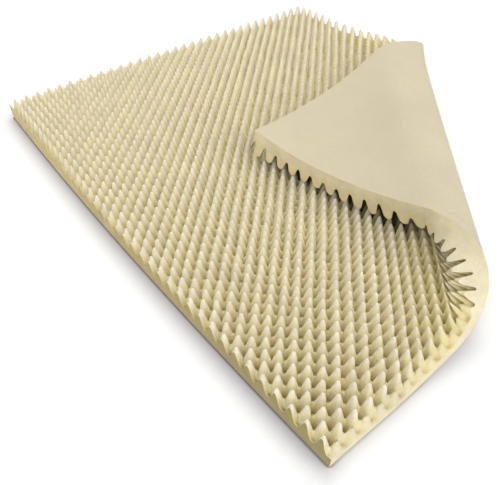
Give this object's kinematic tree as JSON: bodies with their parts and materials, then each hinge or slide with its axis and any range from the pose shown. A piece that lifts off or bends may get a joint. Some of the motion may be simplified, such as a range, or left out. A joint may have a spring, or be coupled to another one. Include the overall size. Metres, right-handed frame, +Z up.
{
  "type": "mattress topper",
  "caption": "Foam mattress topper with a field of tall peaks above and a smooth underside, lying flat with one corner curled over.",
  "frame": {"origin": "on the supporting surface, under the middle of the bounding box", "axes": "+X along the long side, +Y along the short side towards the curled corner, +Z up"},
  "size_m": [1.892, 1.7064, 0.2544],
  "materials": {
    "foam": "matt open-cell foam"
  },
  "bodies": {
    "root": {"foam_sheet": "foam"}
  },
  "joints": []
}
